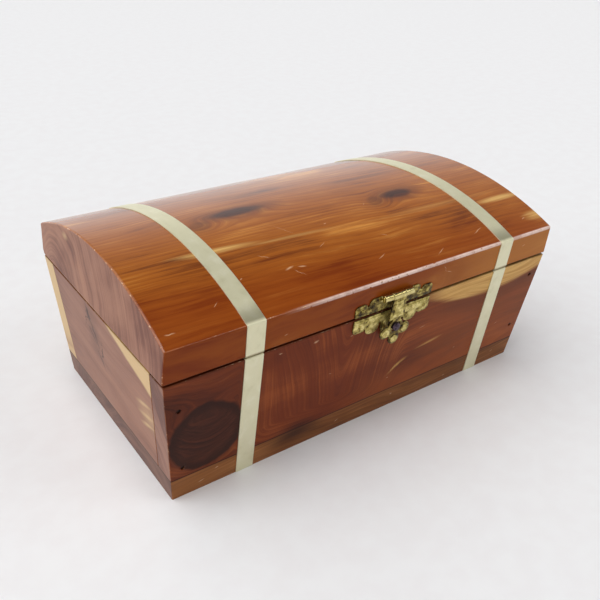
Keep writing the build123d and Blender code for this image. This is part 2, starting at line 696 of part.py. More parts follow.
# ----------------------------------------------------------------------------- the boards
def open_holes(places):
    """The open holes over sunk nail heads."""
    with BuildPart() as holes:
        for place in places:
            with BuildSketch(place):
                Circle(NAIL_HEAD)
            extrude(amount=-NAIL_SINK)
    return holes.part


def outer_end_edges(face):
    """The two sloping edges at the ends of a long wall's outer face."""
    return face.edges().filter_by(lambda edge: abs(edge.tangent_at(0.5).X) < 0.5)


front_holes = open_holes(front_nail_places)
back_holes = open_holes(back_nail_places)
bottom_holes = open_holes(bottom_nail_places)

with BuildPart() as front_panel:
    with BuildSketch(Plane.YZ):
        add(body_section)
        with BuildLine():
            Polyline(*front_wall_band(BOARD, WALL_ACROSS, BOARD, BODY_HEIGHT), close=True)
        make_face(mode=Mode.INTERSECT)
    extrude(amount=RIM_LENGTH, both=True)
    for side in (-1, 1):
        split(bisect_by=end_plane(side, 0, BASE_LENGTH / 2, END_LEAN), keep=Keep.BOTTOM)
    inner_rim = front_panel.edges().filter_by(Axis.X).group_by(Axis.Z)[-1].sort_by(Axis.Y)[-1]
    fillet(inner_rim, EDGE_ROUND)
    fillet(outer_end_edges(front_panel.faces().sort_by(Axis.Y)[0]), EDGE_ROUND)
    plain_front_panel = front_panel.part
    add(front_holes, mode=Mode.SUBTRACT)
    add(front_panel_nails, mode=Mode.SUBTRACT)
    add(bottom_nails, mode=Mode.SUBTRACT)
    add(body_strap_tacks, mode=Mode.SUBTRACT)
    add(latch_lower_nails, mode=Mode.SUBTRACT)
    add(latch_stud.part, mode=Mode.SUBTRACT)
keep(front_panel.part, "front_panel")

with BuildPart() as back_panel:
    mirror(plain_front_panel, about=Plane.XZ)
    add(back_holes, mode=Mode.SUBTRACT)
    add(back_panel_nails, mode=Mode.SUBTRACT)
    add(bottom_nails, mode=Mode.SUBTRACT)
    add(body_strap_tacks, mode=Mode.SUBTRACT)
    add(hinge_body_nails, mode=Mode.SUBTRACT)
keep(back_panel.part, "back_panel")


def end_panel(side):
    """An end wall, which stands between the long walls."""
    with BuildPart() as panel:
        with BuildSketch(Plane.XZ):
            with BuildLine():
                Polyline(
                    (side * half_length(BOARD), BOARD),
                    (side * half_length(BODY_HEIGHT), BODY_HEIGHT),
                    (side * (half_length(BODY_HEIGHT) - END_ACROSS), BODY_HEIGHT),
                    (side * (half_length(BOARD) - END_ACROSS), BOARD),
                    close=True,
                )
            make_face()
        extrude(amount=RIM_DEPTH, both=True)
        for y_side in (-1, 1):
            inner_y = y_side * (RIM_DEPTH / 2 - WALL_ACROSS)
            inner_face = leaning_plane(0, inner_y, BODY_HEIGHT, WALL_ANGLE)
            split(bisect_by=inner_face, keep=Keep.BOTTOM)
        fillet(panel.edges().filter_by(Axis.Y).group_by(Axis.Z)[-1], EDGE_ROUND)
        add(front_panel_nails, mode=Mode.SUBTRACT)
        add(back_panel_nails, mode=Mode.SUBTRACT)
        add(bottom_nails, mode=Mode.SUBTRACT)
    return panel.part


keep(end_panel(-1), "left_end_panel")
keep(end_panel(1), "right_end_panel")

with BuildPart() as bottom_board:
    with BuildSketch(Plane.XY):
        Rectangle(BASE_LENGTH, BASE_DEPTH)
    with BuildSketch(Plane.XY.offset(BOARD)):
        Rectangle(2 * half_length(BOARD), 2 * half_depth(BOARD))
    loft()
    upright = bottom_board.edges().filter_by(lambda edge: abs(edge.tangent_at(0.5).Z) > 0.5)
    fillet(upright, EDGE_ROUND)
    add(bottom_holes, mode=Mode.SUBTRACT)
    add(bottom_nails, mode=Mode.SUBTRACT)
    for strap in body_straps:
        add(strap, mode=Mode.SUBTRACT)
    add(body_strap_tacks, mode=Mode.SUBTRACT)
keep(bottom_board.part, "bottom_board")

# -------------------------------------------------------------------------------- the lid
with BuildPart() as lid:
    with BuildSketch(Plane.YZ):
        add(lid_section)
    extrude(amount=RIM_LENGTH, both=True)
    for side in (-1, 1):
        lid_end = end_plane(side, LID_BOTTOM, RIM_LENGTH / 2 + LID_OVERHANG, -LID_END_LEAN)
        split(bisect_by=lid_end, keep=Keep.BOTTOM)
    ends = lid.faces().sort_by(Axis.X)
    fillet(ends[0].edges() + ends[-1].edges(), END_ROUND)
    with BuildSketch(Plane.XY.offset(LID_BOTTOM)):
        RectangleRounded(RECESS_LENGTH, RECESS_DEPTH, RECESS_CORNER)
    extrude(amount=RECESS_HEIGHT, mode=Mode.SUBTRACT)
    add(lid_strap_tacks, mode=Mode.SUBTRACT)
    add(latch_upper_nails, mode=Mode.SUBTRACT)
    add(hinge_lid_nails, mode=Mode.SUBTRACT)
keep(lid.part, "lid")
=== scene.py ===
# Looks of the cedar keepsake chest: worn boards, a varnished cedar with knots and sapwood,
# pale brass bands, a stamped antique-brass latch, a soft studio and the camera.
import json
import math

import bmesh
import bpy
from mathutils import Matrix, Vector, noise

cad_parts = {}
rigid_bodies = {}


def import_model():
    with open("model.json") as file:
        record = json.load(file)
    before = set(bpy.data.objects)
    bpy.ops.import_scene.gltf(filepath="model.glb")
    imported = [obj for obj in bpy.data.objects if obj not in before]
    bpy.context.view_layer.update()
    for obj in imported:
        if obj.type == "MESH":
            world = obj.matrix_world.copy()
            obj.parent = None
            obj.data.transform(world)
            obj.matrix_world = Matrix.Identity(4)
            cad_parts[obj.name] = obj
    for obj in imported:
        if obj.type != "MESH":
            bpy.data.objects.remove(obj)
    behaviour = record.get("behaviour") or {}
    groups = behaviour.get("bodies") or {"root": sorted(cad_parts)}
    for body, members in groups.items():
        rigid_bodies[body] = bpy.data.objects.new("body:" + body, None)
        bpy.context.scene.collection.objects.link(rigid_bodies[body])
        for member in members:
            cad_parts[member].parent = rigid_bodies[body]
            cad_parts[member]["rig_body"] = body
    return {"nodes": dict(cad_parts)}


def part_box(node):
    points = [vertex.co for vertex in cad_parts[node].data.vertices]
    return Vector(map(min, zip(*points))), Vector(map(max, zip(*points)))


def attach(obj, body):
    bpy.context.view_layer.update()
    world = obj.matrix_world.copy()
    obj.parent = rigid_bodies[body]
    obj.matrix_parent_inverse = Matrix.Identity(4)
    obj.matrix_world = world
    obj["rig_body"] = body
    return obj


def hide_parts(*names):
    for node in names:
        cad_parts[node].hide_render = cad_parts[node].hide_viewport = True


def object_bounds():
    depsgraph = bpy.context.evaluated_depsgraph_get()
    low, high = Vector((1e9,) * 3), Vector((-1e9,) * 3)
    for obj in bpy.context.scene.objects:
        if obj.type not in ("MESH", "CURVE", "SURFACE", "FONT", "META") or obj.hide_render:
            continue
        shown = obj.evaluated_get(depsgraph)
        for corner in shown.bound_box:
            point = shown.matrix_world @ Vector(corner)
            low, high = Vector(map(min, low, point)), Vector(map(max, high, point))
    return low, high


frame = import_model()
cad_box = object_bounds()
nodes = frame["nodes"]

MM = 0.001                    # the frame is in metres


def box_mm(node):
    """Lowest and highest corner of a CAD node in millimetres."""
    low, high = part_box(node)
    return low / MM, high / MM


def slot_of(node):
    """The record's material slot of a CAD node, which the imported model's material is named after."""
    return nodes[node].data.materials[0].name.split(".")[0]


def front_arris():
    """The lid's front arris as its y and z: the highest point of the upright strip below it."""
    mesh = nodes["lid"].data
    upright = [face for face in mesh.polygons if face.normal.y < -0.9]
    places = [mesh.vertices[index].co for face in upright for index in face.vertices]
    highest = max(places, key=lambda place: place.z)
    return highest.y / MM, highest.z / MM


SLOTS = {node: slot_of(node) for node in nodes}
FOOT_TOP = box_mm("front_panel")[0].z
RIM_HEIGHT = box_mm("front_panel")[1].z
LID_BOTTOM = box_mm("lid")[0].z
ARRIS_Y, ARRIS_Z = front_arris()

# ---------------------------------------------------------------- shader helpers


def paint(red, green, blue):
    """A screen colour from 0 to 255 as the linear colour that a socket takes."""
    def linear(level):
        share = level / 255
        return share / 12.92 if share <= 0.04045 else ((share + 0.055) / 1.055) ** 2.4
    return (linear(red), linear(green), linear(blue), 1.0)


class Value:
    """A number that varies over a surface. Arithmetic on it adds math nodes."""

    def __init__(self, shader, socket):
        self.shader = shader
        self.socket = socket

    def __add__(self, other):
        return self.shader.math("ADD", self, other)

    def __radd__(self, other):
        return self.shader.math("ADD", other, self)

    def __sub__(self, other):
        return self.shader.math("SUBTRACT", self, other)

    def __rsub__(self, other):
        return self.shader.math("SUBTRACT", other, self)

    def __mul__(self, other):
        return self.shader.math("MULTIPLY", self, other)

    def __rmul__(self, other):
        return self.shader.math("MULTIPLY", other, self)

    def __truediv__(self, other):
        return self.shader.math("DIVIDE", self, other)

    def size(self):
        """The value without its sign."""
        return self.shader.math("ABSOLUTE", self)

    def fraction(self):
        """What is left over a whole number."""
        return self.shader.math("FRACT", self)

    def either(self, other):
        """The larger of two masks."""
        return self.shader.math("MAXIMUM", self, other)

    def rise(self, low, high):
        """0 at low and 1 at high, with a smooth step between. It falls where low is above high."""
        node = self.shader.tree.nodes.new("ShaderNodeMapRange")
        node.interpolation_type = "SMOOTHSTEP"
        self.shader.feed(node.inputs["Value"], self)
        self.shader.feed(node.inputs["From Min"], low)
        self.shader.feed(node.inputs["From Max"], high)
        return Value(self.shader, node.outputs[0])


class Tree:
    """Short calls that add nodes to a node tree."""

    def __init__(self, tree):
        self.tree = tree

    def split(self, socket, scale):
        """The three parts of a vector, each times scale."""
        parts = self.tree.nodes.new("ShaderNodeSeparateXYZ")
        self.tree.links.new(socket, parts.inputs[0])
        return [Value(self, output) * scale for output in parts.outputs]

    def feed(self, socket, term):
        """Links a Value or a socket, or sets a plain number or colour."""
        if isinstance(term, Value):
            self.tree.links.new(term.socket, socket)
        elif isinstance(term, bpy.types.NodeSocket):
            self.tree.links.new(term, socket)
        else:
            socket.default_value = term

    def math(self, operation, *terms):
        """What a math node makes of these terms."""
        node = self.tree.nodes.new("ShaderNodeMath")
        node.operation = operation
        for socket, term in zip(node.inputs, terms):
            self.feed(socket, term)
        return Value(self, node.outputs[0])

    def root(self, *parts):
        """The length of a vector with these parts."""
        total = parts[0] * parts[0]
        for part in parts[1:]:
            total = total + part * part
        return self.math("SQRT", total)

    def bell(self, gap):
        """1 where gap is 0, and close to 0 from a gap of 2."""
        return self.math("EXPONENT", gap * gap * -1.0)

    def blend(self, share, below, above):
        """A number that goes from below to above."""
        return below + (above - below) * share

    def noise(self, x, y, z, detail=2.0, roughness=0.5):
        """Smooth noise, about 0.5 on average, with features one unit across."""
        place = self.tree.nodes.new("ShaderNodeCombineXYZ")
        for socket, term in zip(place.inputs, (x, y, z)):
            self.feed(socket, term)
        node = self.tree.nodes.new("ShaderNodeTexNoise")
        node.inputs["Scale"].default_value = 1.0
        node.inputs["Detail"].default_value = detail
        node.inputs["Roughness"].default_value = roughness
        self.tree.links.new(place.outputs[0], node.inputs["Vector"])
        return Value(self, node.outputs[0])

    def ramp(self, share, *stops):
        """A colour that changes along share. A stop is (place, colour)."""
        node = self.tree.nodes.new("ShaderNodeValToRGB")
        node.color_ramp.interpolation = "EASE"
        points = node.color_ramp.elements
        while len(points) < len(stops):
            points.new(0.5)
        for point, (place, colour) in zip(points, stops):
            point.position = place
            point.color = colour
        self.feed(node.inputs[0], share)
        return node.outputs[0]

    def mix(self, share, below, above):
        """A colour: above laid over below where share is 1."""
        node = self.tree.nodes.new("ShaderNodeMix")
        node.data_type = "RGBA"
        factor, first_colour, second_colour = node.inputs[0], node.inputs[6], node.inputs[7]
        self.feed(factor, share)
        self.feed(first_colour, below)
        self.feed(second_colour, above)
        return node.outputs[2]


class Shader(Tree):
    """A node material under construction. Its x, y and z are millimetres in the part's frame."""

    def __init__(self, name):
        self.material = bpy.data.materials.new(name)
        self.material.use_nodes = True
        super().__init__(self.material.node_tree)
        self.surface = self.tree.nodes["Principled BSDF"]
        coordinates = self.tree.nodes.new("ShaderNodeTexCoord")
        self.x, self.y, self.z = self.split(coordinates.outputs["Object"], 1 / MM)
        self.facing_x, self.facing_y, self.facing_z = self.split(coordinates.outputs["Normal"], 1)

    def bump(self, height, depth_mm):
        """Raises the surface by depth_mm where height is 1."""
        node = self.tree.nodes.new("ShaderNodeBump")
        node.inputs["Strength"].default_value = 1.0
        node.inputs["Distance"].default_value = depth_mm * MM
        self.feed(node.inputs["Height"], height)
        self.tree.links.new(node.outputs[0], self.surface.inputs["Normal"])

    def finish(self, colour, roughness, **constants):
        """Feeds the shader. A constant is named after its socket, as in Coat_Weight."""
        self.feed(self.surface.inputs["Base Color"], colour)
        self.feed(self.surface.inputs["Roughness"], roughness)
        for name, value in constants.items():
            self.feed(self.surface.inputs[name.replace("_", " ")], value)
        return self.material


# ---------------------------------------------------------------- cedar

# Colours of the wood of a board, from its darkest streaks to its lightest.
HEART_TONES = (paint(104, 48, 12), paint(164, 92, 26), paint(212, 142, 62))
FRONT_TONES = (paint(60, 22, 10), paint(114, 50, 20), paint(164, 86, 40))
FOOT_TONES = (paint(74, 38, 16), paint(128, 76, 36), paint(168, 110, 62))
HEART_DEEP = paint(126, 44, 0)
KNOT_CORE = paint(44, 18, 10)
KNOT_INNER = paint(96, 46, 28)
KNOT_RING = paint(100, 42, 18)
SAPWOOD = paint(224, 180, 108)
SAPWOOD_DARK = paint(196, 144, 76)
END_DARK = paint(112, 74, 64)
END_GREY = paint(160, 118, 100)
END_SAPWOOD = paint(214, 184, 138)
END_CRACK = paint(66, 46, 44)
# Dark joint line at the foot, and the painted shade along the seam.
JOINT_LINE_AND_SEAM_SHADE = paint(44, 18, 10)
RAW_DARK = paint(150, 78, 48)
RAW_CEDAR = paint(196, 128, 84)
RUBBED = paint(188, 118, 76)
# Worn pale wood with a painted highlight on it, for the lid's front arris.
WORN_EDGE_AND_HIGHLIGHT = paint(236, 208, 196)
SCRATCH = paint(226, 186, 146)

SIDE_COAT = 0.14              # weight of the varnish on upright faces, which were rubbed nearly matt

# A hollow of bare wood is half its width, half its depth, its floor and its top. Chest and lid.
BODY_HOLLOW = (104.5, 57.0, FOOT_TOP, 2 * RIM_HEIGHT)
LID_HOLLOW = (97.5, 49.5, LID_BOTTOM + 0.8, LID_BOTTOM + 14.0)


class Knot:
    """Where a branch was: its centre and reach, how far it bends the rings, how dark it is, where
    its rim starts to fade, and how ragged the rim is."""

    def __init__(self, centre, reach, bend, dark=1.0, edge=0.5, ragged=0.5):
        self.centre = Vector(centre)
        self.reach = Vector(reach)
        self.bend = bend
        self.dark = dark
        self.edge = edge
        self.ragged = ragged


class Marks:
    """Masks of what sets a board apart: sapwood, dark spots, pale scratches, deep and warm tones; on
    the front board the warm mask holds a painted sheen.
    """

    def __init__(self, sap=0.0, dark=0.0, pale=0.0, deep=0.0, warm=0.0):
        self.sap = sap
        self.dark = dark
        self.pale = pale
        self.deep = deep
        self.warm = warm


class Grain:
    """The figure of a board: slow bands, fine lines, fibres, dark latewood, and their sum, the tone.
    The drift and the jitter follow bands and lines, and move the edges of marks along with them."""

    def __init__(self, wood, axes, radius, ring, seed, contrast):
        along, across, up = axes
        rings = radius / ring
        bands = wood.noise(along / 110, rings * 0.42, across / 160 + seed, detail=7, roughness=0.62)
        clouds = wood.noise(along / 60 + seed, across / 26, up / 26, detail=3)
        self.fine = wood.noise(along / 34 + seed, rings * 2.6, up / 40, detail=4, roughness=0.6)
        self.fibre = wood.noise(along / 9, across / 0.32, up / 0.32, detail=2)
        self.drift = bands - 0.5
        self.jitter = self.fine - 0.5
        phase = (rings + self.drift * 1.4).fraction()
        self.latewood = phase.rise(0.35, 0.95) * phase.rise(1.0, 0.95)
        tone = bands * 0.62 + self.fine * 0.38 + (clouds - 0.5) * 0.6 + (self.fibre - 0.5) * 0.08
        self.tone = (tone - 0.5) * contrast + 0.5


class Wear:
    """Where a board is rubbed: its arrises, slow patches of rubbing, and nicks."""

    def __init__(self, wood, inside):
        flatness = union(wood.facing_x.size(), wood.facing_y.size(), wood.facing_z.size())
        self.arris = flatness.rise(0.90, 0.82) * (1.0 - inside)
        self.rubbed = wood.noise(wood.x / 13, wood.y / 13, wood.z / 13, detail=4, roughness=0.7)
        self.nicks = wood.noise(wood.x / 1.8, wood.y / 1.8, wood.z / 1.8, detail=2)


def union(*masks):
    """The masks laid together."""
    total = masks[0]
    for mask in masks[1:]:
        total = total.either(mask)
    return total


def spot(wood, u, v, centre, half_length, half_width, slope=0.0, curve=0.0, edge=0.0):
    """A mask: a long oval mark around centre, in the plane of u and v, that may lean or curve. It is
    full up to edge, a share of the way from its centre to its rim."""
    along = (u - centre[0]) / half_length
    across = (v - centre[1] - (u - centre[0]) * slope - along * along * curve) / half_width
    return wood.root(along, across).rise(1.0, edge)


def inside_mask(wood, hollow):
    """1 in a hollow, which was never varnished."""
    half_width, half_depth, floor, top = hollow
    within_walls = (wood.x.size().rise(half_width + 1, half_width)
                    * wood.y.size().rise(half_depth + 1, half_depth))
    return within_walls * wood.z.rise(floor - 0.8, floor) * wood.z.rise(top + 0.8, top)


def growth_radius(wood, axes, pith, tilt, wander, seed):
    """Distance from the middle of the tree, in millimetres, with the slow wander of real grain."""
    along, across, up = axes
    sway = wood.noise(along / 130 + seed, across / 42, up / 42, detail=2) - 0.5
    heave = wood.noise(along / 120, across / 38 + seed, up / 38, detail=2) - 0.5
    side = across - pith[0] + along * tilt + sway * wander
    height = up - pith[1] + heave * wander
    return wood.root(side, height)


def bend_round_knots(wood, radius, knots):
    """The rings' radius, pushed aside by the knots, and the masks of cores, hearts and halos."""
    cores = []
    hearts = []
    halos = []
    for knot in knots:
        offsets = [(place - middle) / reach for place, middle, reach
                   in zip((wood.x, wood.y, wood.z), knot.centre, knot.reach)]
        ripple = (wood.noise(wood.x / 9, wood.y / 9, wood.z / 9, detail=2) - 0.5) * knot.ragged
        gap = wood.root(*offsets) + ripple
        radius = radius + wood.bell(gap * 0.7) * knot.bend
        cores.append(gap.rise(1.0, knot.edge) * knot.dark)
        hearts.append(gap.rise(0.86, 0.62) * knot.dark)
        halos.append(gap.rise(1.9, 0.9) * knot.dark)
    return radius, cores, hearts, halos


def colour_knots(wood, colour, radius, grain, cores, hearts, halos):
    """Lays a ringed halo, a dark core and a redder heart over the wood at each knot."""
    knot_rings = (radius * 0.45).fraction().rise(0.2, 0.9)
    ring_tone = wood.mix(knot_rings * 0.4, KNOT_RING, KNOT_CORE)
    colour = wood.mix(union(*halos) * 0.5, colour, ring_tone)
    colour = wood.mix(union(*cores) * 0.92, colour, KNOT_CORE)
    flecks = (grain.fine * 0.7 + grain.fibre * 0.3).rise(0.35, 0.75)
    return wood.mix(union(*hearts) * flecks * 0.8, colour, KNOT_INNER)


def end_grain(wood, colour, grain, marks):
    """Greyer, duller wood on the faces that look along the chest."""
    tone = wood.ramp(grain.tone, (0.3, END_DARK), (0.62, END_GREY))
    tone = wood.mix(marks.sap, tone, END_SAPWOOD)
    tone = wood.mix(marks.dark, tone, END_CRACK)
    return wood.mix(wood.facing_x.size().rise(0.6, 0.95) * 0.88, colour, tone)


def wear_joint_and_seam_shade(wood, colour, wear, inside):
    """Rubbed and nicked arrises, the dark joint line at the foot, and painted shade along the seam
    under the lid.
    """
    colour = wood.mix(wear.arris * wear.rubbed.rise(0.40, 0.62) * 0.45, colour, RUBBED)
    chips = wear.arris * wear.nicks.rise(0.56, 0.66) * wear.rubbed.rise(0.42, 0.55)
    colour = wood.mix(chips * 0.8, colour, SCRATCH)
    joint = (wood.z - FOOT_TOP).size().rise(0.5, 0.2)
    # Painted shade in the seam between the lid and the chest, under the lid's overhang.
    seam_shade = (wood.z - (RIM_HEIGHT + LID_BOTTOM) / 2).size().rise(1.4, 0.6) * wear.rubbed
    return wood.mix(joint.either(seam_shade) * (1.0 - inside) * 0.85, colour, JOINT_LINE_AND_SEAM_SHADE)


def cedar(name, pith, mark, ring=2.2, tilt=0.02, wander=26.0, seed=0.0, along_y=False, knots=(),
          swirl=None, tones=HEART_TONES, lines=0.28, contrast=1.0, coat=SIDE_COAT, gloss=0.2,
          edge=None, hollow=BODY_HOLLOW):
    """Varnished red cedar, the same all through the board, so face grain and end grain agree.

    pith is the middle of the tree, across and up; mark gives the board's marks; swirl bends its
    rings; edge is a mask of a pale edge, worn wood with a painted highlight; lines and contrast are
    the strength of the figure; coat is the weight of the varnish on faces that look up.
    """
    wood = Shader(name)
    dark_heart, heart, light_heart = tones
    axes = (wood.y, wood.x, wood.z) if along_y else (wood.x, wood.y, wood.z)
    radius = growth_radius(wood, axes, pith, tilt, wander, seed)
    if swirl:
        radius = swirl(wood, radius)
    radius, cores, hearts, halos = bend_round_knots(wood, radius, knots)
    grain = Grain(wood, axes, radius, ring, seed, contrast)
    marks = mark(wood, grain)
    inside = inside_mask(wood, hollow)
    wear = Wear(wood, inside)

    colour = wood.ramp(grain.tone, (0.28, dark_heart), (0.50, heart), (0.74, light_heart))
    colour = wood.mix(grain.latewood * lines, colour, dark_heart)
    if knots:
        colour = colour_knots(wood, colour, radius, grain, cores, hearts, halos)
    colour = wood.mix(marks.deep, colour, HEART_DEEP)
    # Lighter tones, and on the front board a painted sheen.
    colour = wood.mix(marks.warm, colour, light_heart)
    colour = wood.mix(marks.sap, colour, wood.mix(grain.fine.rise(0.3, 0.7), SAPWOOD_DARK, SAPWOOD))
    colour = wood.mix(marks.dark, colour, KNOT_CORE)
    colour = end_grain(wood, colour, grain, marks)
    raw = wood.mix(grain.tone.rise(0.32, 0.68), RAW_DARK, RAW_CEDAR)
    raw = wood.mix(grain.latewood * 0.35, raw, RAW_DARK)
    colour = wood.mix(inside * 0.8, colour, raw)
    colour = wear_joint_and_seam_shade(wood, colour, wear, inside)
    colour = wood.mix(marks.pale, colour, SCRATCH)
    # The pale edge: worn wood with a painted highlight laid over it.
    if edge:
        colour = wood.mix(edge(wood, wear), colour, WORN_EDGE_AND_HIGHLIGHT)

    dents = wood.noise(wood.x / 3.5, wood.y / 3.5, wood.z / 3.5, detail=3, roughness=0.6)
    relief = grain.fibre * 0.25 + grain.fine * 0.25 + dents * 0.3 + wear.arris * wear.nicks * 1.2
    wood.bump(relief, 0.10)
    roughness = wood.blend(inside, 0.42 + grain.jitter * 0.2, 0.72)
    upward = wood.facing_z.rise(0.3, 0.6)
    varnish = (1.0 - inside) * wood.blend(upward, SIDE_COAT, coat)
    return wood.finish(colour, roughness, Specular_IOR_Level=0.06, Coat_Weight=varnish,
                       Coat_Roughness=gloss, Coat_IOR=1.5)


# ---------------------------------------------------------------- marks of each board

# A scratch is (place, half length, half width, slope), on the plane that it lies in.
LID_SCRATCHES = (
    ((-45.0, -50.5), 3.2, 0.9, 0.25), ((-38.5, -51.5), 2.6, 0.6, -0.3),
    ((-41.5, -54.5), 2.4, 0.35, -1.2), ((-113.0, -65.0), 3.0, 0.55, -0.1),
    ((-52.0, -39.5), 3.4, 0.3, -0.55), ((-31.0, -24.0), 5.0, 0.25, -1.6),
    ((-70.0, -49.0), 1.0, 0.5, 0.4), ((-20.0, -42.0), 3.0, 0.25, 0.5),
    ((4.0, -59.0), 3.5, 0.3, 0.35), ((16.0, -47.0), 2.0, 0.3, -0.8),
    ((38.0, -66.0), 4.0, 0.3, 0.45), ((70.0, -61.0), 5.0, 0.3, 0.3),
    ((-8.0, -28.0), 1.2, 0.4, 0.2), ((24.0, -20.0), 1.0, 0.3, 0.6),
    ((106.0, -62.0), 2.2, 0.4, 0.3), ((-88.0, -58.0), 1.6, 0.3, 0.7),
)
STRIP_SCRATCHES = (
    ((37.0, 84.0), 1.9, 0.28, -1.5), ((40.5, 81.3), 2.6, 0.3, -0.55),
    ((98.0, 82.0), 1.6, 0.3, 0.3), ((-60.0, 77.0), 1.3, 0.3, 0.2),
)
FRONT_SCRATCHES = (
    ((30.0, 50.0), 3.0, 0.25, 0.15), ((12.0, 22.0), 1.2, 0.35, 0.4),
    ((-20.0, 62.0), 1.0, 0.4, 0.2), ((-62.0, 67.0), 1.5, 0.5, 0.1),
    ((-42.0, 66.5), 1.9, 0.8, 0.15), ((95.0, 30.0), 1.6, 0.25, 0.5),
    ((62.0, 24.0), 1.0, 0.35, 0.3), ((-30.0, 42.0), 0.9, 0.3, -0.5),
)
FOOT_SCRATCHES = (
    ((-100.0, 5.0), 2.2, 0.5, 0.3), ((-92.0, 9.5), 1.3, 0.4, 0.2), ((-20.0, 5.5), 1.6, 0.4, 0.5),
    ((18.0, 8.0), 1.2, 0.7, 0.3), ((60.0, 4.0), 1.3, 0.4, 0.2), ((100.0, 7.0), 1.3, 0.35, 0.4),
)
# A crack of an end board has the same four parts. Its place is a height and a depth.
END_CRACKS = (
    ((64.0, 12.0), 6.0, 3.2, 0.1), ((55.0, 7.5), 12.0, 1.1, 0.45), ((47.0, 0.5), 9.0, 0.9, -0.35),
    ((60.0, 15.0), 8.0, 1.0, -0.8), ((52.0, 10.0), 7.0, 0.8, 1.1), ((41.0, 4.0), 6.0, 0.8, 0.8),
)


def strokes(wood, u, v, places, edge):
    """A mask of short marks, drawn where places says."""
    return union(*[spot(wood, u, v, place, half_length, half_width, slope, edge=edge)
                   for place, half_length, half_width, slope in places])


def scratches(wood, u, v, places):
    """A mask of faint, slightly crooked scratches."""
    wobble = (wood.noise(wood.x / 2.5, wood.y / 2.5, wood.z / 2.5, detail=2) - 0.5) * 1.4
    return strokes(wood, u + wobble, v + wobble, places, edge=0.1) * 0.6


def lid_marks(wood, grain):
    """Sapwood streaks and scratches of the lid, and the deeper colour along its front."""
    x = wood.x + grain.jitter * 8
    y = wood.y + grain.drift * 4
    front = wood.facing_y.rise(-0.6, -0.9)
    end = wood.facing_x.size().rise(0.6, 0.9)
    streaks = union(
        spot(wood, x, y, (-70, -27.5), 30, 3.0, slope=-0.07, edge=0.1) * 0.95,
        spot(wood, x, y, (-32, -31.5), 45, 1.5, slope=-0.05) * 0.45,
        spot(wood, x, y, (106, -43.5), 24, 3.0, slope=-0.02, edge=0.2) * 0.85,
        spot(wood, x, y, (117, -62.0), 13, 4.5, slope=-0.02) * 0.9,
        spot(wood, x, y, (60, -36.0), 60, 2.4, slope=-0.02) * 0.25)
    ochre = spot(wood, wood.y, wood.z, (35, 96), 5, 2.5) * end * 0.5
    on_top = scratches(wood, wood.x, wood.y, LID_SCRATCHES) * wood.facing_z.rise(0.5, 0.7)
    on_strip = scratches(wood, wood.x, wood.z, STRIP_SCRATCHES) * front
    near_front = (y + wood.x * 0.08).rise(-36, -66) * 0.6
    return Marks(
        sap=(streaks * wood.facing_z.rise(0.3, 0.5)).either(ochre),
        pale=on_top.either(on_strip),
        deep=near_front.either(front * wood.x.rise(70, 0) * 0.55),
        warm=front * wood.x.rise(20, 80) * 0.45)


def lid_arris_wear_and_highlight(wood, wear):
    """The lid's front arris is pale over its right two thirds, with chips out of it: worn wood with a
    painted highlight.
    """
    line = wood.root(wood.y - ARRIS_Y, wood.z - ARRIS_Z).rise(1.35, 0.6)
    worn = 0.6 + wear.rubbed.rise(0.35, 0.6) * 0.4
    return line * wood.x.rise(-66, -24) * worn * wear.nicks.rise(0.70, 0.60)


def front_swirl(wood, radius):
    """Between the band and the latch the grain stands upright, in arcs around the big knot."""
    arc = wood.root(wood.x + 190, (wood.z - 10) * 0.9) * 1.1
    curl = (wood.noise(wood.x / 30, wood.y / 30, wood.z / 60, detail=2) - 0.5) * 12
    mask = wood.x.rise(-84, -62) * wood.x.rise(20, -26) * wood.z.rise(6, 24)
    return wood.blend(mask, radius, arc + curl)


def front_marks(wood, grain):
    """The pale band under the seam on the right, two flecks, nicks, slow changes of tone, and a
    painted sheen that makes the board lighter towards the right.
    """
    x = wood.x + grain.jitter * 8
    z = wood.z + grain.jitter * 2 + grain.drift * 3
    off_middle = wood.x - 78
    depth = z - off_middle * off_middle * 0.0035
    band = depth.rise(56.6, 60.4) * wood.x.rise(20, 46)
    short_fleck = spot(wood, x, z, (17, 29), 8, 1.7, slope=0.6, curve=-1.5) * 0.8
    long_fleck = spot(wood, x, z, (38, 36.5), 13, 1.4, slope=0.14) * 0.7
    under_band = depth.rise(44, 54) * depth.rise(60, 56) * wood.x.rise(28, 56) * 0.35
    low_oval = spot(wood, x, z, (-47, 12), 20, 9, slope=0.05) * 0.8
    # Painted sheen: a pale veil of reflected light, painted in as lighter wood towards the right.
    sheen_to_the_right = wood.x.rise(6, 60) * 0.5
    low_right = wood.z.rise(34, 16) * wood.x.rise(-30, 10) * 0.4
    return Marks(
        sap=union(band, short_fleck, long_fleck) * wood.facing_x.size().rise(0.9, 0.6),
        dark=under_band.either(low_oval),
        pale=scratches(wood, wood.x, wood.z, FRONT_SCRATCHES),
        deep=wood.x.rise(14, -20) * wood.x.rise(-84, -66) * 0.25,
        warm=sheen_to_the_right.either(low_right))


def foot_marks(wood, grain):
    """The bottom board's dark patch in front, its dark ends, and nicks."""
    x = wood.x + grain.jitter * 10
    z = wood.z + grain.drift * 4
    patch = spot(wood, x, z, (-47, 10), 22, 9, slope=0.05) * 0.8
    ends = wood.facing_x.size().rise(0.6, 0.9) * 0.45
    return Marks(
        dark=(patch * wood.facing_y.rise(-0.5, -0.8)).either(ends),
        pale=scratches(wood, wood.x, wood.z, FOOT_SCRATCHES),
        warm=wood.x.rise(-50, -100) * 0.4)


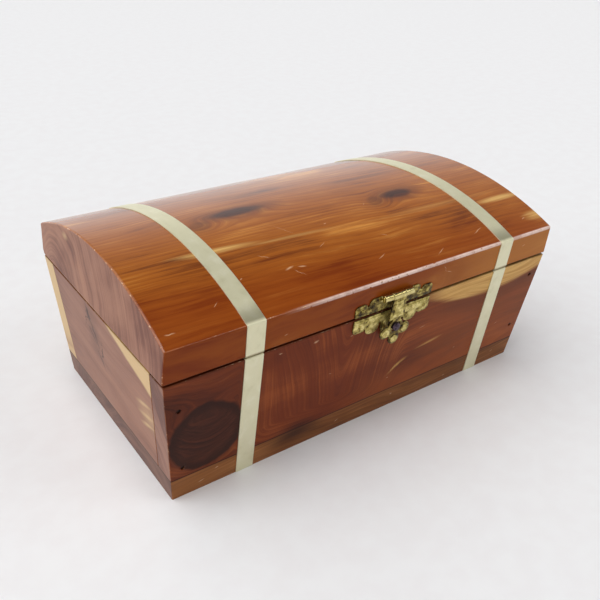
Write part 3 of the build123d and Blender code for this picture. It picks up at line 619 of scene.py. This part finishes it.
def end_marks(wood, grain):
    """The pale wedge beside the front board and the cracked knot near the rim of an end board."""
    y = wood.y + grain.jitter * 5
    z = wood.z + grain.drift * 4
    wedge = (z - y * 0.31).rise(73.0, 75.6) * y.rise(-8, -16)
    streaks = union(
        spot(wood, y, z, (-46, 46), 12, 2.2, slope=-0.25),
        spot(wood, y, z, (-48, 40), 14, 3.0, slope=-0.25),
        spot(wood, y, z, (-47, 34), 11, 2.0, slope=-0.25),
        spot(wood, y, z, (-50, 40), 16, 12) * 0.5) * 0.75
    jag = (wood.noise(wood.x / 3, wood.y / 3, wood.z / 3, detail=3) - 0.5) * 7
    cracks = strokes(wood, wood.z + jag, wood.y + jag, END_CRACKS, edge=0.3)
    smoke = spot(wood, wood.z + jag, wood.y + jag, (56, 9), 22, 13) * 0.4
    return Marks(sap=wedge.either(streaks), dark=cracks.either(smoke) * 0.85)


def back_marks(wood, grain):
    """Sapwood all the way up the ends of the back board, and in a band along its lower edge."""
    z = wood.z + grain.drift * 8
    ends = wood.facing_x.size().rise(0.6, 0.9) * z.rise(10, 30)
    band = z.rise(22, 17) * 0.8
    return Marks(sap=ends.either(band))


# ---------------------------------------------------------------- metals


def band_brass():
    """Pale champagne brass strip: satin, scuffed and tarnished in specks, with painted shade where it
    passes the seam and a dark painted reflection just behind the bend over the lid's front arris."""
    metal = Shader("band_brass")
    scuffs = metal.noise(metal.x / 0.5, metal.y / 14, metal.z / 14, detail=3, roughness=0.6)
    cross = metal.noise(metal.x / 2.0, metal.y / 2.4, metal.z / 2.4, detail=4, roughness=0.7)
    stains = metal.noise(metal.x / 7, metal.y / 9, metal.z / 9, detail=4, roughness=0.6)
    colour = metal.ramp(stains, (0.2, paint(216, 210, 172)), (0.5, paint(230, 225, 190)),
                        (0.8, paint(240, 236, 208)))
    colour = metal.mix(cross.rise(0.68, 0.80) * 0.45, colour, paint(132, 116, 78))
    # Painted shade on the band where it passes the seam under the lid's overhang.
    seam = (metal.z - (RIM_HEIGHT + 0.9)).size().rise(1.3, 0.5)
    colour = metal.mix(seam * 0.6, colour, paint(128, 106, 52))
    # A dark painted reflection on the top of the band, just behind its bend over the lid's front
    # arris.
    off_fold = metal.root(metal.y - ARRIS_Y, metal.z - ARRIS_Z)
    fold_reflection = off_fold.rise(13, 2) * off_fold.rise(0.6, 2.0) * metal.facing_z.rise(0.3, 0.5)
    colour = metal.mix(fold_reflection * 0.6, colour, paint(118, 112, 84))
    metal.bump(scuffs * 0.5 + cross * 0.5, 0.04)
    roughness = 0.32 + stains * 0.12 + (cross - 0.5) * 0.12
    return metal.finish(colour, roughness, Metallic=0.5, Specular_IOR_Level=0.7)


STAMP_RELIEF = 0.45           # height of the stamped fields over the borders of the latch's plates
BARREL_REACH = 1.9            # the rolled barrel lies this close to the middle of the pin


def outward(node):
    """The way a latch plate faces, and how far out its stamped top lies, in millimetres."""
    mesh = nodes[node].data
    total = Vector((0, 0, 0))
    for face in mesh.polygons:
        if face.normal.y < -0.8:
            total = total + face.normal * face.area
    way = total.normalized()
    return way, max(vertex.co.dot(way) for vertex in mesh.vertices) / MM


def stamped_patina_and_slope_shade(metal, node):
    """How much brighter a stamped plate is: tops are rubbed, hollows hold dark patina, and the slopes
    get painted shade.
    """
    way, top = outward(node)
    height = metal.x * way.x + metal.y * way.y + metal.z * way.z - top
    facing = metal.facing_x * way.x + metal.facing_y * way.y + metal.facing_z * way.z
    hollow = height.rise(-STAMP_RELIEF * 0.45, -STAMP_RELIEF - 0.35) * facing.rise(0.2, 0.6)
    # Painted shade: faces that turn away from the plate's outward way are darkened.
    slope = facing.size().rise(0.92, 0.4)
    return 0.11 - hollow * 0.2 - slope * 0.28


def barrel_mask(metal):
    """1 on the rolled knuckles round the latch's pin."""
    pin_low, pin_high = box_mm("latch_pin")
    middle = (pin_low + pin_high) / 2
    off_axis = metal.root(metal.y - middle.y, metal.z - middle.z)
    past_end = (metal.x - middle.x).size() - (pin_high.x - pin_low.x) / 2
    return off_axis.rise(BARREL_REACH + 0.3, BARREL_REACH) * past_end.rise(0.1, -0.1)


def latch_brass(name, node=None):
    """Antique brass: yellow where it is rubbed, brown-black patina in a stamped node's hollows, and
    painted shade on its slopes.
    """
    metal = Shader(name)
    mottle = metal.noise(metal.x / 2.6, metal.y / 2.6, metal.z / 2.6, detail=3, roughness=0.55)
    grain = metal.noise(metal.x / 0.6, metal.y / 0.6, metal.z / 0.6, detail=3, roughness=0.6)
    patina = 0.5 + (mottle - 0.5) * 0.9 + (grain - 0.5) * 0.35
    if node:
        patina = patina + stamped_patina_and_slope_shade(metal, node)
    rolled = barrel_mask(metal)
    colour = metal.ramp(patina, (0.24, paint(36, 26, 12)), (0.40, paint(108, 90, 40)),
                        (0.54, paint(178, 160, 86)), (0.74, paint(228, 212, 140)))
    bright = metal.mix(mottle, paint(170, 148, 66), paint(250, 238, 176))
    colour = metal.mix(rolled * 0.9, colour, bright)
    metal.bump(mottle * 0.7 + grain * 0.3, 0.10)
    roughness = metal.blend(rolled, 0.56 - patina * 0.32, 0.14 + mottle * 0.1)
    return metal.finish(colour, roughness, Metallic=metal.blend(rolled, 0.7, 1.0))


def rolled_brass():
    """The latch's pin: rubbed bright."""
    metal = Shader("rolled_brass")
    streaks = metal.noise(metal.x / 3.0, metal.y / 0.6, metal.z / 0.6, detail=4, roughness=0.6)
    colour = metal.ramp(streaks, (0.3, paint(92, 76, 30)), (0.5, paint(196, 176, 92)),
                        (0.7, paint(236, 220, 150)))
    metal.bump(streaks, 0.03)
    return metal.finish(colour, 0.24 + streaks * 0.16, Metallic=1.0)


def hinge_brass():
    """Plain pressed hinges at the back, dull yellow."""
    metal = Shader("hinge_brass")
    mottle = metal.noise(metal.x / 4, metal.y / 4, metal.z / 4, detail=5, roughness=0.6)
    lines = metal.noise(metal.x / 0.4, metal.y / 8, metal.z / 8, detail=2)
    colour = metal.ramp(mottle, (0.3, paint(134, 108, 52)), (0.55, paint(202, 178, 104)),
                        (0.8, paint(226, 206, 140)))
    metal.bump(lines * 0.4 + mottle * 0.6, 0.05)
    return metal.finish(colour, 0.30 + mottle * 0.2, Metallic=1.0)


def dark_stud():
    """The stud's dome: near black with a violet temper colour."""
    metal = Shader("dark_stud")
    mottle = metal.noise(metal.x / 1.2, metal.y / 1.2, metal.z / 1.2, detail=3)
    colour = metal.ramp(mottle, (0.3, paint(36, 28, 34)), (0.7, paint(96, 80, 92)))
    metal.bump(mottle, 0.06)
    return metal.finish(colour, 0.26 + mottle * 0.12, Metallic=0.9)


def nail_steel():
    """Sunk finishing nails: dark, rusty steel."""
    metal = Shader("nail_steel")
    rust = metal.noise(metal.x / 0.6, metal.y / 0.6, metal.z / 0.6, detail=4, roughness=0.7)
    colour = metal.ramp(rust, (0.4, paint(30, 24, 22)), (0.65, paint(78, 44, 30)))
    metal.bump(rust, 0.08)
    return metal.finish(colour, 0.5 + rust * 0.3, Metallic=0.7)


# ---------------------------------------------------------------- geometry


VOXEL = 0.18 * MM             # size of the remeshed latch's faces
STAMP_DEPTH = 0.10 * MM       # deepest dent in a stamped face
STAMP_WAVE = 2.4 * MM         # distance between dents


def dress(piece, material):
    """Gives a piece one material."""
    if not piece.material_slots:
        piece.data.materials.append(None)
    piece.material_slots[0].material = material


def softened(node):
    """A node's mesh, remeshed finely and evenly, with its sharp edges smoothed."""
    shape = bpy.data.objects.new("shape", nodes[node].data.copy())
    bpy.context.scene.collection.objects.link(shape)
    remesh = shape.modifiers.new("remesh", "REMESH")
    remesh.mode = "VOXEL"
    remesh.voxel_size = VOXEL
    smooth = shape.modifiers.new("soften", "SMOOTH")
    smooth.factor = 0.5
    smooth.iterations = 2
    depsgraph = bpy.context.evaluated_depsgraph_get()
    mesh = bpy.data.meshes.new_from_object(shape.evaluated_get(depsgraph))
    bpy.data.objects.remove(shape)
    return mesh


def stamped(node):
    """A latch piece as it comes from the press: soft edges and uneven, dented faces. It stands for
    the CAD node, inside the node's own box."""
    mesh = softened(node)
    low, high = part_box(node)
    outwards = [vertex.normal.copy() for vertex in mesh.vertices]
    for vertex, way in zip(mesh.vertices, outwards):
        dent = 0.5 + noise.fractal(vertex.co / STAMP_WAVE, 1.0, 2.0, 3)
        place = vertex.co - way * min(max(dent, 0.0), 1.0) * STAMP_DEPTH
        vertex.co = [min(max(place[i], low[i]), high[i]) for i in range(3)]
    mesh.shade_smooth()
    piece = bpy.data.objects.new(node + "_stamped", mesh)
    bpy.context.scene.collection.objects.link(piece)
    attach(piece, nodes[node]["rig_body"])
    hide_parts(node)
    return piece


def dress_boards():
    """Cedar for all the boards and the lid."""
    lid_knots = (
        Knot((-42, 2.5, 104), (19, 5.6, 30), 9.0, edge=0.45, ragged=0.3),
        Knot((49, -17.5, 103), (13, 5.4, 30), 8.0, edge=0.45, ragged=0.3),
        Knot((-66, -4, 104), (7, 6, 30), -5.0, dark=0.3),
        Knot((32, -20, 103), (6, 6, 30), -5.0, dark=0.3),
    )
    front_knot = Knot((-98, -66, 34), (20, 30, 21), 20.0, edge=0.9, ragged=0.2)
    back_knot = Knot((28, 66, 44), (12, 30, 8), 9.0)
    lid = cedar("cedar_lid", (46, 62), lid_marks, ring=2.4, wander=12.0, seed=3.1, knots=lid_knots,
                edge=lid_arris_wear_and_highlight, hollow=LID_HOLLOW, contrast=0.95, lines=0.24, coat=0.85, gloss=0.12)
    front = cedar("cedar_front", (-12, 4), front_marks, ring=2.6, seed=7.7, knots=(front_knot,),
                  swirl=front_swirl, tones=FRONT_TONES)
    back = cedar("cedar_back", (20, 30), back_marks, ring=2.5, seed=12.3, knots=(back_knot,))
    end = cedar("cedar_end", (-60, 10), end_marks, ring=2.4, seed=5.5, along_y=True, contrast=0.6)
    foot = cedar("cedar_foot", (-30, -40), foot_marks, ring=2.3, seed=9.2, tones=FOOT_TONES)
    for node, material in (("lid", lid), ("front_panel", front), ("back_panel", back),
                           ("left_end_panel", end), ("right_end_panel", end),
                           ("bottom_board", foot)):
        dress(nodes[node], material)


def dress_metals():
    """Metals for everything else, and the latch's stamped pieces."""
    by_slot = {
        "strap_brass": band_brass(),
        "antique_brass": latch_brass("antique_brass"),
        "hinge_brass": hinge_brass(),
        "tack_brass": latch_brass("tack_brass"),
        "dark_metal": dark_stud(),
        "nail_steel": nail_steel(),
    }
    for name, node in nodes.items():
        if SLOTS[name] in by_slot:
            dress(node, by_slot[SLOTS[name]])
    dress(nodes["latch_pin"], rolled_brass())
    for name in ("latch_upper_plate", "latch_lower_plate", "latch_hasp"):
        brass = latch_brass(name + "_brass", name)
        dress(stamped(name), brass)


# ---------------------------------------------------------------- studio

CAMERA_TARGET = Vector((1.6, 2.2, 40.0)) * MM
CAMERA_DISTANCE = 421.3 * MM
CAMERA_AZIMUTH = math.radians(-36.97)
CAMERA_ELEVATION = math.radians(29.9)
CAMERA_ROLL = 0.049
LENS = 43.6
SENSOR_WIDTH = 36.0

HORIZON_IN_FRONT = 0.62       # brightness of the sweep behind the camera, behind the chest, overhead
HORIZON_BEHIND = 0.92
CEILING = 0.06
FLOOR_RADIUS = 4.0


def direction(azimuth, elevation):
    """Unit vector from the chest towards a place round it. Azimuth 0 is in front."""
    return Vector((math.sin(azimuth) * math.cos(elevation), -math.cos(azimuth) * math.cos(elevation),
                   math.sin(elevation)))


def add_camera():
    """The camera looks at the chest from its front left, a little rolled."""
    data = bpy.data.cameras.new("camera")
    data.lens = LENS
    data.sensor_width = SENSOR_WIDTH
    data.clip_start = 0.01
    camera = bpy.data.objects.new("camera", data)
    bpy.context.scene.collection.objects.link(camera)
    back = direction(CAMERA_AZIMUTH, CAMERA_ELEVATION)
    right = Vector((0, 0, 1)).cross(back).normalized()
    up = back.cross(right)
    tilted_right = right * math.cos(CAMERA_ROLL) + up * math.sin(CAMERA_ROLL)
    tilted_up = up * math.cos(CAMERA_ROLL) - right * math.sin(CAMERA_ROLL)
    turn = Matrix((tilted_right, tilted_up, back)).transposed()
    camera.matrix_world = Matrix.Translation(CAMERA_TARGET + back * CAMERA_DISTANCE) @ turn.to_4x4()
    bpy.context.scene.camera = camera


def softbox(name, azimuth, elevation, width, strength):
    """A large far light, width degrees across, that shines towards the chest."""
    data = bpy.data.lights.new(name, "SUN")
    data.angle = math.radians(width)
    data.energy = strength
    light = bpy.data.objects.new(name, data)
    bpy.context.scene.collection.objects.link(light)
    towards = direction(math.radians(azimuth), math.radians(elevation))
    light.location = CAMERA_TARGET + towards
    light.rotation_mode = "QUATERNION"
    light.rotation_quaternion = towards.to_track_quat("Z", "Y")


def add_world():
    """A white sweep behind and to the sides, dimmer on the camera's side, under a dark ceiling."""
    world = bpy.data.worlds.new("studio")
    world.use_nodes = True
    sky = Tree(world.node_tree)
    coordinates = sky.tree.nodes.new("ShaderNodeTexCoord")
    _, y, z = sky.split(coordinates.outputs["Generated"], 1)
    behind = y.rise(-0.7, 0.5)
    horizon = sky.blend(behind, HORIZON_IN_FRONT, HORIZON_BEHIND)
    level = sky.blend(z.rise(0.10, 0.80), horizon, CEILING)
    background = sky.tree.nodes["Background"]
    background.inputs["Color"].default_value = (1.0, 1.0, 1.01, 1)
    sky.feed(background.inputs["Strength"], level)
    bpy.context.scene.world = world


def add_floor():
    """A wide pale tabletop with a faint sheen."""
    mesh = bpy.data.meshes.new("floor")
    disc = bmesh.new()
    bmesh.ops.create_circle(disc, cap_ends=True, segments=96, radius=FLOOR_RADIUS)
    disc.to_mesh(mesh)
    disc.free()
    floor = bpy.data.objects.new("floor", mesh)
    bpy.context.scene.collection.objects.link(floor)
    floor.location.z = cad_box[0].z
    sheet = Shader("floor")
    mottle = sheet.noise(sheet.x / 12, sheet.y / 12, sheet.z, detail=3)
    colour = sheet.ramp(mottle, (0.3, paint(234, 233, 234)), (0.7, paint(236, 236, 237)))
    dress(floor, sheet.finish(colour, 0.36, Specular_IOR_Level=0.45))


def add_lights():
    """A key from the left, soft light from above and behind, and two weak fills on the right."""
    softbox("left_key", azimuth=-100, elevation=42, width=50, strength=1.05)
    softbox("back_top", azimuth=-150, elevation=58, width=50, strength=0.75)
    softbox("overhead", azimuth=-60, elevation=80, width=36, strength=1.08)
    softbox("right_front", azimuth=44, elevation=43, width=22, strength=0.3)
    softbox("right_fill", azimuth=80, elevation=16, width=40, strength=0.3)


dress_boards()
dress_metals()
add_camera()
add_world()
add_floor()
add_lights()
bpy.context.scene.view_settings.view_transform = "Standard"
